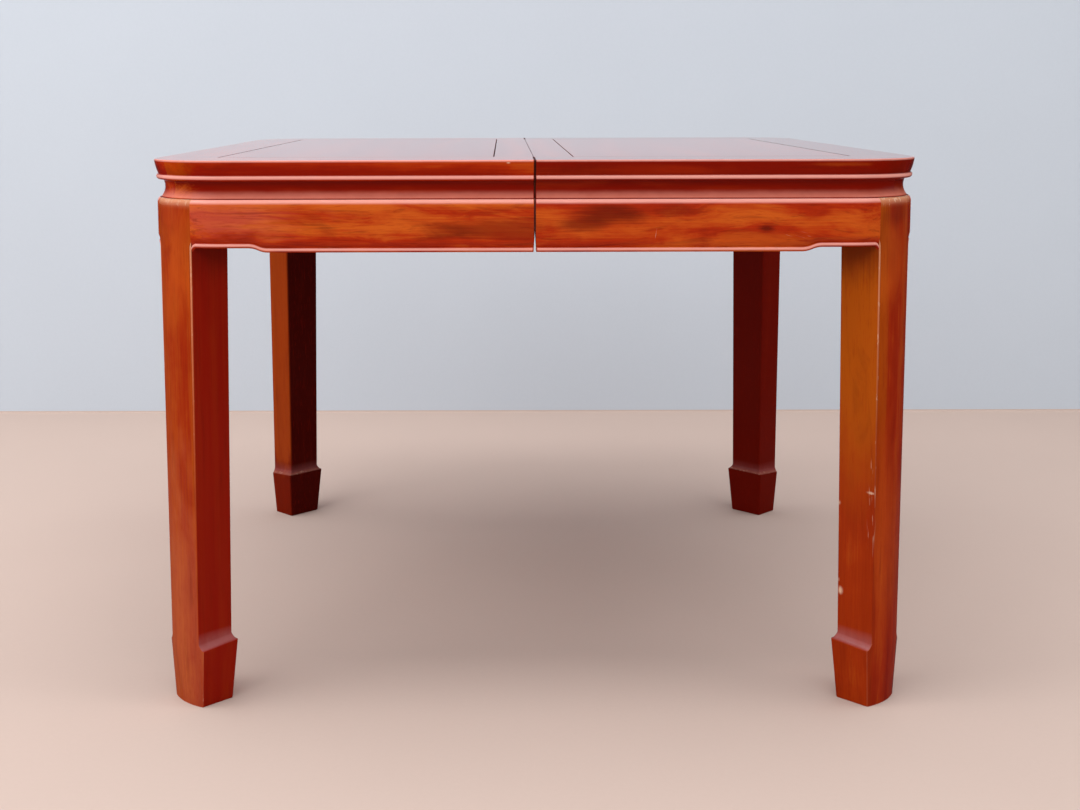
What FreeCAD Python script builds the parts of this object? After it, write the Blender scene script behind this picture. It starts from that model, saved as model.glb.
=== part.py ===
import FreeCAD, Part
import os
from math import asin, atan2, cos, degrees, pi, radians, sin, sqrt

# Square hardwood table in two halves that pull apart on wooden slides.
# Millimetres. X runs along the pull, Y from front to back, Z up; the floor is at zero.
Vector = FreeCAD.Vector

# overall sizes
top_length = 1064.0
top_depth = 1064.0
table_height = 770.0
corner_radius = 104.0
pull_travel = 460.0

# gaps, fits and the overrun of cuts
seam_gap = 0.8
apron_seam_gap = 2.0
joint_clearance = 0.15
slide_clearance = 0.3
overrun = 5.0

# small rounds and beads are cut as this many flats
round_flats = 3

# top frame and its moulded edge
frame_thickness = 28.0
stile_width = 104.0
end_rail_width = 87.0
seam_rail_width = 55.0
edge_slope = 5.0
edge_slope_height = 20.0
edge_ease = 1.6
edge_bead_swell = 2.4
mitre_tenon_end_share = 0.74
mitre_tenon_side_share = 0.5
mitre_tenon_length = 43.0
mitre_tenon_width = 22.0
mitre_tenon_thickness = 7.0
mitre_tenon_cover = 5.5
seam_tenon_length = 25.0
seam_tenon_shoulder = 10.0
seam_tenon_thickness = 9.0
seam_tenon_lift = 4.0

# floating panels and the battens keyed into them
panel_thickness = 13.0
panel_reveal = 0.8
tongue_thickness = 6.0
tongue_length = 7.0
batten_width = 80.0
batten_tenon_length = 10.0
batten_tenon_width = 50.0
batten_tenon_thickness = 8.0
batten_tenon_lift = 3.0
key_height = 4.0
key_neck = 40.0
key_spread = 4.0

# coved waist under the top
waist_height = 25.0
waist_top_inset = 12.0
waist_neck_inset = 14.5
waist_foot_inset = 8.5
waist_thickness = 13.0
waist_tongue_width = 5.0
waist_tongue_height = 5.0

# aprons with a beaded lower edge that steps up to the legs
apron_inset = 3.5
apron_height = 71.5
apron_thickness = 24.0
apron_shoulder = 4.5
apron_rise = 6.0
apron_rise_length = 40.0
ogee_length = 28.0
apron_bead_height = 7.0
apron_bead_swell = 2.2
apron_quirk = 3.2
apron_fall_height = 12.0
apron_board_lap = 3.0
apron_tenon_length = 15.0
apron_tenon_root = 8.0
apron_tenon_width = 10.0
apron_tenon_inset = 20.0
apron_tenon_shoulder = 15.0

# legs set on the diagonal, with beaded outer edges and an inward hoof
leg_setback = 1.0
leg_width = 77.0
leg_side = 60.0
ankle_width = 67.0
ankle_side = 56.5
ankle_height = 9.0
hoof_height = 83.0
hoof_width = 82.0
hoof_side = 59.0
sole_width = 68.0
sole_side = 51.0
hoof_lean = 4.0
hoof_rise = 4.0
leg_inner_ease = 3.0
leg_bead = 2.2
leg_bead_turn = 12.0
leg_bead_shares = (0.3, 0.75)
leg_quirk_angle = 55.0
leg_arris = 1.2
leg_arris_angle = 12.0
neck_width = 52.0
neck_depth = 37.0
leg_tenon_width = 14.0
leg_tenon_depth = 20.0
leg_tenon_height = 14.0
leg_tenon_gap = 14.0

# wooden slides under the battens
slide_line = 205.0
runner_width = 30.0
runner_height = 45.0
runner_tip_room = 45.0
runner_tail_room = 15.0
runner_relief = 1.0
runner_relief_lap = 5.0
slide_tongue_depth = 9.0
slide_tongue_neck = 12.0
slide_tongue_spread = 3.0
slide_tongue_drop = 17.0
peg_radius = 4.0
peg_reach = 8.0
peg_margin = 15.0
peg_lift = 9.0

# dowels that line up the closed halves
dowel_radius = 5.0
dowel_length = 38.0
dowel_spacing = 520.0
dowel_clearance = 0.3

# cross ties that hold the free ends of the aprons
tie_width = 30.0
tie_height = 37.0
tie_setback = 40.0
tie_lift = 8.0
tie_tenon_length = 9.0
tie_tenon_shoulder = 6.0

# places worked out from the sizes
half_length = top_length / 2
half_depth = top_depth / 2
corner_x = half_length - corner_radius
corner_y = half_depth - corner_radius
frame_low = table_height - frame_thickness
apron_top = frame_low - waist_height
apron_low = apron_top - apron_height
panel_low = table_height - panel_thickness
panel_x = half_length - end_rail_width
panel_y = half_depth - stile_width
seam_face = seam_gap / 2
apron_radius = corner_radius - apron_inset
apron_inner_radius = apron_radius - apron_thickness
waist_inner_radius = corner_radius - waist_neck_inset - waist_thickness
leg_radius = apron_radius - leg_setback
runner_low = frame_low - runner_height
runner_reach = panel_x - runner_tip_room
runner_tail = panel_x - runner_tail_room
far = top_length + top_depth
eighth_turn = 45.0
quarter_turn = 90.0
half_turn = 180.0
full_turn = 360.0
axis_x = Vector(1, 0, 0)
axis_y = Vector(0, 1, 0)
axis_z = Vector(0, 0, 1)
origin = Vector(0, 0, 0)


def box(low, high):
    sides = [b - a for a, b in zip(low, high)]
    return Part.makeBox(*sides, Vector(*low))


def grown(low, high, by):
    return box([a - by for a in low], [b + by for b in high])


def prism(points, low, high):
    corners = [Vector(x, y, low) for x, y in points]
    return Part.Face(Part.makePolygon(corners + corners[:1])).extrude(Vector(0, 0, high - low))


def profile(start, *steps):
    # Face in the XZ plane. A step is an end point, or an arc's middle point and its end point.
    edges = []
    at = Vector(start[0], 0, start[1])
    for step in steps + ([start],):
        points = [Vector(x, 0, z) for x, z in step]
        if len(points) == 1:
            edges.append(Part.LineSegment(at, points[0]).toShape())
        else:
            edges.append(Part.Arc(at, *points).toShape())
        at = points[-1]
    return Part.Face(Part.Wire(edges))


def flats(start, middle, end):
    # A small round through three points, as the flat steps of a profile.
    curve = Part.Arc(*[Vector(x, 0, z) for x, z in (start, middle, end)]).toShape()
    return [[(point.x, point.z)] for point in curve.discretize(round_flats + 1)[1:]]


def joined(shapes):
    return shapes[0].multiFuse(shapes[1:]).removeSplitter()


def turned(shape, angle):
    copy = shape.copy()
    copy.rotate(origin, axis_z, angle)
    return copy


def moved(shape, x, y, z=0):
    copy = shape.copy()
    copy.translate(Vector(x, y, z))
    return copy


def swapped_x(shape):
    return shape.mirror(origin, axis_x)


def swapped_y(shape):
    return shape.mirror(origin, axis_y)


def to_front(shape):
    # An edge piece has X outward from the corner centre and Y along the table's side.
    return moved(turned(shape, -quarter_turn), -corner_x, -corner_y)


def to_end(shape):
    half = moved(turned(shape, half_turn), -corner_x, corner_y)
    return joined([half, swapped_y(half)])


def to_leg(shape):
    return moved(turned(shape, half_turn + eighth_turn), -corner_x, -corner_y)


# Top frame

def edge_face():
    foot = corner_radius - edge_slope
    bead_high = table_height - edge_slope_height
    bead_middle = (frame_low + bead_high) / 2
    return profile(
        (0, frame_low),
        [(foot, frame_low)],
        *flats((foot, frame_low), (foot + edge_bead_swell, bead_middle), (foot, bead_high)),
        [(corner_radius, table_height - edge_ease)],
        [(corner_radius - edge_ease, table_height)],
        [(0, table_height)],
    )


def moulded_top():
    face = edge_face()
    turn = face.revolve(origin, axis_z, quarter_turn)
    pieces = [box((-corner_x, -corner_y, frame_low), (corner_x, corner_y, table_height))]
    places = [(corner_x, corner_y), (-corner_x, corner_y), (-corner_x, -corner_y), (corner_x, -corner_y)]
    for number, (x, y) in enumerate(places):
        run = face.extrude(Vector(0, 2 * (corner_x if number % 2 else corner_y), 0))
        next_x, next_y = places[number - 1]
        pieces.append(moved(turned(turn, number * quarter_turn), x, y))
        pieces.append(moved(turned(run, number * quarter_turn), next_x, next_y))
    return joined(pieces)


def tongue_room():
    reach = tongue_length + joint_clearance
    low = (-panel_x - reach, -panel_y - reach, panel_low)
    high = (-seam_rail_width + reach, panel_y + reach, panel_low + tongue_thickness + joint_clearance)
    return box(low, high)


def mitre_tenon(grow):
    end = -corner_x - mitre_tenon_end_share * corner_radius
    side = -corner_y - mitre_tenon_side_share * corner_radius
    high = table_height - mitre_tenon_cover
    low_corner = (end, side, high - mitre_tenon_thickness)
    high_corner = (end + mitre_tenon_length, side + mitre_tenon_width, high)
    return grown(low_corner, high_corner, grow)


def seam_tenon(grow):
    low_z = frame_low + seam_tenon_lift
    low = (-seam_rail_width + seam_tenon_shoulder, -panel_y - seam_tenon_length, low_z)
    high = (-seam_face - seam_tenon_shoulder, -panel_y + overrun, low_z + seam_tenon_thickness)
    return grown(low, high, grow)


def leg_tenons(grow):
    outer = waist_inner_radius - neck_depth / 2 + leg_tenon_depth / 2
    tenons = []
    for side in (-1, 1):
        middle = side * (leg_tenon_gap + leg_tenon_width) / 2
        low = (outer - leg_tenon_depth, middle - leg_tenon_width / 2, frame_low - overrun)
        high = (outer, middle + leg_tenon_width / 2, frame_low + leg_tenon_height)
        tenons.append(grown(low, high, grow))
    return Part.makeCompound(tenons)


def batten_tenons(grow):
    tenons = []
    half = batten_tenon_width / 2
    low_z = frame_low + batten_tenon_lift
    for end in (-panel_x, -seam_rail_width):
        low = (end - batten_tenon_length, -slide_line - half, low_z)
        high = (end + batten_tenon_length, -slide_line + half, low_z + batten_tenon_thickness)
        tenons.append(grown(low, high, grow))
    return Part.makeCompound(tenons)


def front_stile(top):
    outer = [(-seam_face, -half_depth), (-half_length, -half_depth)]
    inner = [(-panel_x, -panel_y), (-seam_face, -panel_y)]
    stile = top.common(prism(outer + inner, frame_low, table_height))
    stile = stile.fuse(mitre_tenon(0)).removeSplitter()
    cuts = [tongue_room(), seam_tenon(joint_clearance), to_leg(leg_tenons(joint_clearance))]
    return stile.cut(cuts)


def end_rail(top):
    outer = [(-half_length, half_depth), (-half_length, -half_depth)]
    rail = top.common(prism(outer + [(-panel_x, -panel_y), (-panel_x, panel_y)], frame_low, table_height))
    cuts = [mitre_tenon(joint_clearance), to_leg(leg_tenons(joint_clearance))]
    cuts.append(batten_tenons(joint_clearance))
    return rail.cut([tongue_room()] + cuts + [swapped_y(cut) for cut in cuts])


def seam_rail(clearance):
    rail = box((-seam_rail_width, -panel_y, frame_low), (-seam_face, panel_y, table_height))
    rail = joined([rail, seam_tenon(0), swapped_y(seam_tenon(0))])
    sockets = batten_tenons(joint_clearance)
    holes = dowels(clearance)
    return rail.cut([tongue_room(), sockets, swapped_y(sockets)] + holes)


def dowels(grow):
    length = dowel_length + 2 * grow
    pegs = []
    for side in (-1, 1):
        start = Vector(-length / 2, side * dowel_spacing / 2, frame_low + frame_thickness / 2)
        pegs.append(Part.makeCylinder(dowel_radius + grow, length, start, axis_x))
    return pegs


# Panels and battens

def batten_key(grow):
    low = key_neck / 2 + grow
    high = low + key_spread
    top = panel_low + key_height + grow
    across = [(-low, panel_low - overrun), (low, panel_low - overrun), (low, panel_low)]
    across += [(high, top), (-high, top), (-low, panel_low)]
    corners = [Vector(-panel_x, y - slide_line, z) for y, z in across]
    key = Part.Face(Part.makePolygon(corners + corners[:1]))
    return key.extrude(Vector(panel_x - seam_rail_width, 0, 0))


def panel():
    inner = panel_reveal
    low = (-panel_x + inner, -panel_y + inner, panel_low)
    high = (-seam_rail_width - inner, panel_y - inner, table_height)
    tongue_low = (-panel_x - tongue_length, -panel_y - tongue_length, panel_low)
    tongue_high = (-seam_rail_width + tongue_length, panel_y + tongue_length, panel_low + tongue_thickness)
    board = joined([box(low, high), box(tongue_low, tongue_high)])
    slot = batten_key(joint_clearance)
    return board.cut([slot, swapped_y(slot)])


def batten():
    low = (-panel_x, -slide_line - batten_width / 2, frame_low)
    high = (-seam_rail_width, -slide_line + batten_width / 2, panel_low)
    return joined([box(low, high), batten_key(0)] + batten_tenons(0).Solids)


# Waist and aprons

def waist_face():
    neck = corner_radius - waist_neck_inset
    return profile(
        (waist_inner_radius, apron_top),
        [(corner_radius - waist_foot_inset, apron_top)],
        [(neck, apron_top + waist_height / 2), (corner_radius - waist_top_inset, frame_low)],
        [(waist_inner_radius, frame_low)],
    )


def waist_tongue(length, grow):
    middle = waist_inner_radius + waist_thickness / 2
    low = (middle - waist_tongue_width / 2, 0, apron_top - waist_tongue_height)
    high = (middle + waist_tongue_width / 2, length, apron_top)
    return box((low[0] - grow, low[1], low[2] - grow), (high[0] + grow, high[1], high[2]))


def waist(length):
    face = waist_face()
    run = face.extrude(Vector(0, length, 0))
    turn = face.revolve(origin, axis_z, -eighth_turn)
    return joined([run, turn, waist_tongue(length, 0)])


def apron_foot_face(low):
    quirk = apron_radius - apron_quirk
    bead_high = low + apron_bead_height
    fall_high = bead_high + apron_fall_height
    high = fall_high + apron_rise + apron_board_lap
    return profile(
        (apron_inner_radius, low),
        [(quirk, low)],
        *flats((quirk, low), (quirk + apron_bead_swell, low + apron_bead_height / 2), (quirk, bead_high)),
        [(apron_radius, fall_high)],
        [(apron_radius, high)],
        [(apron_inner_radius, high)],
    )


def apron_board_face():
    low = apron_low + apron_rise + apron_bead_height + apron_fall_height + apron_board_lap / 2
    face = apron_radius
    return profile(
        (apron_inner_radius, low),
        [(face, low)],
        [(face, apron_top - apron_shoulder)],
        *shoulder(face),
        [(apron_inner_radius, apron_top)],
    )


def shoulder(face):
    inner = face - apron_shoulder * (1 - cos(pi / 4))
    middle = (inner, apron_top - face + inner)
    return flats((face, apron_top - apron_shoulder), middle, (face - apron_shoulder, apron_top))


def apron(length):
    # Half a side, from the corner centre to the table's middle line.
    raised = apron_low + apron_rise
    ogee_end = apron_rise_length + ogee_length
    ogee_radius = (ogee_length ** 2 + apron_rise ** 2) / (4 * apron_rise)
    ogee_turn = degrees(asin(ogee_length / 2 / ogee_radius))
    high_foot = apron_foot_face(raised)
    low_foot = moved(apron_foot_face(apron_low), 0, ogee_end)
    upper_arc = moved(high_foot, 0, apron_rise_length)
    upper_arc = upper_arc.revolve(Vector(0, apron_rise_length, raised - ogee_radius), axis_x, -ogee_turn)
    lower_arc = low_foot.revolve(Vector(0, ogee_end, apron_low + ogee_radius), axis_x, -ogee_turn)
    board = apron_board_face()
    pieces = [
        high_foot.revolve(origin, axis_z, -eighth_turn),
        high_foot.extrude(Vector(0, apron_rise_length, 0)),
        upper_arc,
        lower_arc,
        low_foot.extrude(Vector(0, length - ogee_end, 0)),
        board.revolve(origin, axis_z, -eighth_turn),
        board.extrude(Vector(0, length, 0)),
    ]
    leg_room = turned(box((-far, -far, -far), (far, leg_width / 2, far)), -eighth_turn)
    body = joined(pieces).cut(leg_room)
    tenon = turned(apron_tenon(0), -eighth_turn)
    return joined([body, tenon]).cut(waist_tongue(length, joint_clearance))


def apron_tenon(grow):
    outer = leg_radius - apron_tenon_inset
    low = (outer - apron_tenon_width, leg_width / 2 - apron_tenon_length, apron_low + apron_tenon_shoulder)
    high = (outer, leg_width / 2 + apron_tenon_root, apron_top - apron_tenon_shoulder)
    return grown(low, high, grow)


def front_apron():
    body = to_front(apron(corner_x - apron_seam_gap / 2))
    return body.cut(tie_tenon(joint_clearance))


def tie_tenon(grow):
    inner = -corner_y - apron_inner_radius
    edge = tie_tenon_shoulder
    low_z = apron_low + tie_lift
    low = (-tie_setback - tie_width + edge, inner - tie_tenon_length, low_z + edge)
    high = (-tie_setback - edge, inner + overrun, low_z + tie_height - edge)
    return grown(low, high, grow)


def tie():
    inner = corner_y + apron_inner_radius
    low_z = apron_low + tie_lift
    bar = box((-tie_setback - tie_width, -inner, low_z), (-tie_setback, inner, low_z + tie_height))
    return joined([bar, tie_tenon(0), swapped_y(tie_tenon(0))])


# Legs

def leg_section(height, width, side, radius, bead, quirk_angle, rise=0):
    # Outline across the leg, open past its round outer face: eased inner edges, a bead at each outer edge.
    # It rises from the outer edges inward.
    half = width / 2
    inner = sqrt(radius ** 2 - half ** 2) - side
    bead_y = half - bead
    bead_x = sqrt((radius - bead) ** 2 - bead_y ** 2)
    quirk = atan2(bead_y, bead_x) - radians(quirk_angle)
    points = [(inner, half - leg_inner_ease), (inner + leg_inner_ease, half)]
    for step in range(round_flats + 1):
        turn = pi / 2 + (quirk - pi / 2) * step / round_flats
        points.append((bead_x + bead * cos(turn), bead_y + bead * sin(turn)))
    points.append((leg_radius + overrun, points[-1][1]))
    points += [(x, -y) for x, y in reversed(points)]
    corners = [Vector(x, y, height + rise * (inner + side - x) / side) for x, y in points]
    return Part.makePolygon(corners + corners[:1])


def leg_shaft(bead_top):
    # The beads turn in from the apron's foot and fade into plain eased edges at the ankle.
    near, whole = leg_bead_shares
    ankle = hoof_height + ankle_height
    plain = (leg_arris, leg_arris_angle)
    upper = (leg_width, leg_side, leg_radius)
    sections = [
        leg_section(0, sole_width, sole_side, leg_radius - hoof_lean, *plain),
        leg_section(hoof_height, hoof_width, hoof_side, leg_radius, *plain, hoof_rise),
        leg_section(ankle, ankle_width, ankle_side, leg_radius, *plain, hoof_rise),
    ]
    for fall, share in ((1, 1), (near, whole), (0, near)):
        height = bead_top - fall * leg_bead_turn
        sections.append(leg_section(height, *upper, share * leg_bead, leg_quirk_angle))
    hoof_round = Part.makeCone(leg_radius - hoof_lean, leg_radius, hoof_height)
    shaft_round = Part.makeCylinder(leg_radius, bead_top - hoof_height, Vector(0, 0, hoof_height))
    return Part.makeLoft(sections, True, True).common(joined([hoof_round, shaft_round]))


def leg_block(bead_top):
    half = leg_width / 2
    inner = sqrt(leg_radius ** 2 - half ** 2) - leg_side
    block = box((inner, -half, bead_top), (leg_radius + overrun, half, apron_top))
    face = profile(
        (0, bead_top),
        [(leg_radius, bead_top)],
        [(leg_radius, apron_top - apron_shoulder)],
        *shoulder(leg_radius),
        [(0, apron_top)],
    )
    return block.common(face.revolve(origin, axis_z, full_turn))


def leg():
    bead_top = apron_low + apron_rise + apron_bead_height
    neck_radius = waist_inner_radius - slide_clearance
    half = neck_width / 2
    neck = box((neck_radius - neck_depth, -half, apron_top), (neck_radius, half, frame_low))
    neck = neck.common(Part.makeCylinder(neck_radius, frame_low))
    body = joined([leg_shaft(bead_top), leg_block(bead_top), neck] + leg_tenons(0).Solids)
    sockets = apron_tenon(joint_clearance)
    return body.cut([sockets, swapped_y(sockets)])


# Slides

def across_pull(points, start, end):
    # A runner's section is given by its distance out from the sliding line and by its height.
    corners = [Vector(start, -slide_line - out, z) for out, z in points]
    return Part.Face(Part.makePolygon(corners + corners[:1])).extrude(Vector(end - start, 0, 0))


def slide_tongue(grow):
    middle = frame_low - slide_tongue_drop
    inner = -slide_clearance
    outer = slide_tongue_depth + grow
    low = slide_tongue_neck / 2 + grow
    high = low + slide_tongue_spread
    return [(inner, middle - low), (outer, middle - high), (outer, middle + high), (inner, middle + low)]


def relief():
    low = (-runner_relief_lap, -half_depth, frame_low - runner_relief)
    return box(low, (half_length, half_depth, frame_low + overrun))


def grooved_runner():
    # Fixed to the left half; its groove faces the tongued runner.
    face = slide_clearance / 2
    section = [(face, runner_low), (runner_width, runner_low), (runner_width, frame_low), (face, frame_low)]
    bar = across_pull(section, -runner_tail, runner_reach)
    groove = across_pull(slide_tongue(slide_clearance), -runner_tail, runner_reach)
    return bar.cut([groove, relief(), stop_peg(joint_clearance)])


def tongued_runner():
    # Fixed to the right half, drawn here as seen from the left half.
    face = -slide_clearance / 2
    section = [(-runner_width, runner_low), (face, runner_low), (face, frame_low), (-runner_width, frame_low)]
    bar = across_pull(section, -runner_tail, runner_reach)
    bar = joined([bar, across_pull(slide_tongue(0), -runner_tail, runner_reach)])
    return swapped_x(bar.cut(relief())).cut(stop_slot())


def stop_peg(grow):
    start = Vector(runner_reach - peg_margin, -slide_line - runner_width, runner_low + peg_lift)
    return Part.makeCylinder(peg_radius + grow, runner_width + peg_reach, start, axis_y)


def stop_slot():
    room = peg_radius + slide_clearance
    middle = runner_low + peg_lift
    stop = runner_reach - peg_margin
    low = (stop - pull_travel - room, -slide_line - overrun, middle - room)
    high = (stop + room, -slide_line + peg_reach + slide_clearance, middle + room)
    return box(low, high)


def all_pieces():
    top = moulded_top()
    half = {
        "front_stile": front_stile(top),
        "end_rail": end_rail(top),
        "panel": panel(),
        "front_waist": to_front(waist(corner_x - apron_seam_gap / 2)),
        "end_waist": to_end(waist(corner_y)),
        "front_apron": front_apron(),
        "end_apron": to_end(apron(corner_y)),
        "front_leg": to_leg(leg()),
        "front_batten": batten(),
        "tie_rail": tie(),
    }
    for name in [name for name in half if name.startswith("front")]:
        half[name.replace("front", "back")] = swapped_y(half[name])
    pieces = {}
    for name, shape in half.items():
        pieces["left_" + name] = shape
        pieces["right_" + name] = swapped_x(shape)
    pieces["left_seam_rail"] = seam_rail(joint_clearance)
    pieces["right_seam_rail"] = swapped_x(seam_rail(dowel_clearance))
    slides = {
        "left_front_runner": grooved_runner(),
        "right_front_runner": tongued_runner(),
    }
    for name, shape in slides.items():
        pieces[name] = shape
        pieces[name.replace("front", "back")] = swapped_y(shape)
    pieces["seam_dowels"] = Part.makeCompound(dowels(0))
    pieces["stop_pegs"] = Part.makeCompound([stop_peg(0), swapped_y(stop_peg(0))])
    return pieces


os.makedirs("parts", exist_ok=True)
for name, shape in all_pieces().items():
    shape.exportStep("parts/" + name + ".step")
    print(name, len(shape.Solids), "solids", round(shape.Volume / 1000, 1), "cm3", shape.isValid())
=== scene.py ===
from math import atan2, cos, pi, radians, sin, sqrt
from types import SimpleNamespace

import bmesh
import bpy
from mathutils import Matrix, Vector


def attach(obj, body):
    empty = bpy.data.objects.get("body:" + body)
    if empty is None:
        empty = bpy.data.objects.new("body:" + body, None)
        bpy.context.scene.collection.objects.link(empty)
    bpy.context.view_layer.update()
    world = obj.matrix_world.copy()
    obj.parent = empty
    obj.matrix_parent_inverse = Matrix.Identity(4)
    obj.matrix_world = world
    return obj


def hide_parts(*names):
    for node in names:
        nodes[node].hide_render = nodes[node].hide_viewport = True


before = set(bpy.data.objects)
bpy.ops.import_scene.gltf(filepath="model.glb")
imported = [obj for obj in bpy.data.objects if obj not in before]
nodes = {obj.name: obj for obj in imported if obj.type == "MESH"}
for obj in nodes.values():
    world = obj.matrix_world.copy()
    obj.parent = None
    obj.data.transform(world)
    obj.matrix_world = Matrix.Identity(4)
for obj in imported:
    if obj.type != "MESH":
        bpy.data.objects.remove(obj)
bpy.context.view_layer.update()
scene = bpy.context.scene
scene.view_settings.view_transform = "Standard"
mm = 0.001
print("frame loaded:", len(nodes), "nodes")


# shader maths as plain expressions

class Value:
    def __init__(self, paint, socket):
        self.paint = paint
        self.socket = socket

    def __add__(self, other):
        return self.paint.maths("ADD", self, other)

    def __sub__(self, other):
        return self.paint.maths("SUBTRACT", self, other)

    def __rsub__(self, other):
        return self.paint.maths("SUBTRACT", other, self)

    def __mul__(self, other):
        return self.paint.maths("MULTIPLY", self, other)

    __radd__ = __add__
    __rmul__ = __mul__


class Paint:
    def __init__(self, name, owner=None):
        self.owner = owner or bpy.data.materials.new(name)
        self.owner.use_nodes = True
        self.tree = self.owner.node_tree
        self.tree.nodes.clear()

    def node(self, kind, settings=(), sockets=(), out=0):
        made = self.tree.nodes.new(kind)
        for key, value in dict(settings).items():  # settings come before sockets
            if key == "stops":
                stops = made.color_ramp.elements
                while len(stops) < len(value):
                    stops.new(0.5)
                for stop, (place, colour) in zip(stops, value):
                    stop.position = place
                    stop.color = colour
            else:
                setattr(made, key, value)
        for key, value in dict(sockets).items():
            if isinstance(value, Value):
                self.tree.links.new(value.socket, made.inputs[key])
            else:
                made.inputs[key].default_value = value
        return Value(self, made.outputs[out]) if len(made.outputs) else made

    def maths(self, operation, a, b=0.0):
        return self.node("ShaderNodeMath", {"operation": operation}, {0: a, 1: b})

    def vectors(self, operation, a, b):
        return self.node("ShaderNodeVectorMath", {"operation": operation}, {0: a, 1: b})

    def measure(self, operation, *vectors):  # one number from vectors
        return self.node("ShaderNodeVectorMath", {"operation": operation}, dict(enumerate(vectors)), "Value")

    def mixed(self, factor, a, b, blend="MIX"):
        settings = {"data_type": "RGBA", "blend_type": blend}
        return self.node("ShaderNodeMix", settings, {0: factor, 6: a, 7: b}, 2)

    def band(self, value, low, high):  # 0 below low, 1 above high, soft between
        settings = {"interpolation_type": "SMOOTHSTEP"}
        return self.node("ShaderNodeMapRange", settings, {"Value": value, "From Min": low, "From Max": high})

    def noise(self, place, scale, detail=2.0, rough=0.5, twist=0.0, out=0):
        sockets = {"Vector": place, "Scale": scale, "Detail": detail, "Roughness": rough, "Distortion": twist}
        return self.node("ShaderNodeTexNoise", {}, sockets, out)

    def place(self):
        return self.node("ShaderNodeTexCoord", {}, {}, "Object")

    def along(self, vector, letter):
        return self.node("ShaderNodeSeparateXYZ", {}, {0: vector}, letter)

    def attribute(self, name):
        return self.node("ShaderNodeAttribute", {"attribute_name": name}, {}, "Fac")

    def glossyRay(self):
        return self.node("ShaderNodeLightPath", {}, {}, "Is Glossy Ray")

    def output(self, shader, kind="ShaderNodeOutputMaterial"):
        self.node(kind, {}, {"Surface": shader})
        return self.owner


def rgb(r, g, b):
    return (r, g, b, 1.0)


def grey(level):
    return rgb(level, level, level)


# red-brown hardwood under glossy lacquer

# the pink and tan tones colour rubbed crests and also stand as painted highlights; the mauve tone is a painted sheen;
# shade and deep paint shadow and shade
woodTones = {
    "dark": rgb(0.300, 0.008, 0.0006),
    "red": rgb(0.470, 0.030, 0.0020),
    "orange": rgb(0.660, 0.115, 0.0090),
    "sap": rgb(0.430, 0.080, 0.0015),
    "deep": rgb(0.265, 0.006, 0.0004),
    "smoke": rgb(0.130, 0.008, 0.0010),
    "shade": rgb(0.110, 0.005, 0.0008),
    "worn": rgb(0.980, 0.305, 0.2080),
    "paleHighlight": rgb(0.970, 0.415, 0.3400),
    "tan": rgb(0.760, 0.315, 0.1650),
    "bare": rgb(0.640, 0.370, 0.1900),
    "chip": rgb(0.760, 0.480, 0.3200),
    "grime": rgb(0.042, 0.004, 0.0030),
    "haze": rgb(0.380, 0.112, 0.1080),
}
woodLook = {
    "axis": 0, "seed": 1.0, "tone": 0.50, "level": 1.0, "outerLevel": 1.0, "figure": 0.12, "wander": 0.10,
    "spread": 0.70, "ringScale": 9.0, "ringGain": 0.20, "fibreGain": 0.26, "curl": 0.12,
    "lines": 0.20, "smoke": 0.35, "chips": 0.0, "rubAndHighlightTone": "worn",
    "rough": 0.18, "bump": 0.05, "bumpDepth": 0.0004, "shine": 0.18, "coat": 0.22, "coatIor": 1.5,
    "patches": (), "facePatches": (), "scratches": (), "sap": None, "side": None,
}
woodPatterns = {  # squeeze along the grain, scale, detail, roughness, twist
    "fibre": (0.025, 380.0, 3.0, 0.60, 0.0),
    "streaks": (0.025, 90.0, 3.0, 0.60, 0.0),
    "strips": (0.025, 60.0, 2.0, 0.50, 0.0),
    "lines": (0.05, 170.0, 3.0, 0.60, 0.0),
    "pores": (0.06, 900.0, 1.0, 0.50, 0.0),
    "strokes": (0.08, 420.0, 1.0, 0.50, 0.0),
    "curl": (0.18, 60.0, 5.0, 0.62, 1.2),
    "flakes": (0.22, 260.0, 2.0, 0.60, 0.0),
    "cloud": (0.30, 16.0, 4.0, 0.62, 1.2),
    "patchy": (0.50, 70.0, 4.0, 0.65, 0.0),
    "smudge": (1.0, 9.0, 3.0, 0.60, 0.0),
    "broad": (1.0, 14.0, 4.0, 0.58, 0.8),
    "wander": (1.0, 7.0, 3.0, 0.55, 0.5),
    "gearBroad": (0.08, 22.0, 4.0, 0.55, 0.5),
    "gearFibre": (0.03, 520.0, 3.0, 0.60, 0.0),
    "gearGrime": (1.0, 16.0, 4.0, 0.60, 0.0),
}
woodBands = {  # where a layer starts and where it is full
    "shade": (0.20, 0.80), "smoke": (0.56, 0.74), "lines": (0.54, 0.70), "pores": (0.60, 0.72), "dirt": (0.15, 0.90),
    "rubbedAndHighlit": (0.35, 1.10), "bare": (1.05, 1.45), "flakes": (0.70, 0.76), "flakeWear": (0.35, 0.60),
    "patch": (0.25, 1.25), "scratched": (0.50, 1.10), "strokes": (0.60, 0.72),
    "gearShade": (0.35, 0.85), "gearGrime": (0.52, 0.75),
}
woodLevels = {"pores": 0.30, "rubbedAndHighlit": 0.86, "bare": 0.85, "dirt": 0.92, "strokes": 0.60}
patchEdges = {"chip": 1.5, "shade": 0.7, "face": 2.0, "other": 3.2}  # how ragged a patch is


def grainAlong(axis, squeeze):
    return tuple(squeeze if i == axis else 1.0 for i in range(3))


def pattern(p, place, axis, name, out=0):
    squeeze, scale, detail, rough, twist = woodPatterns[name]
    return p.noise(p.vectors("MULTIPLY", place, grainAlong(axis, squeeze)), scale, detail, rough, twist, out)


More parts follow.
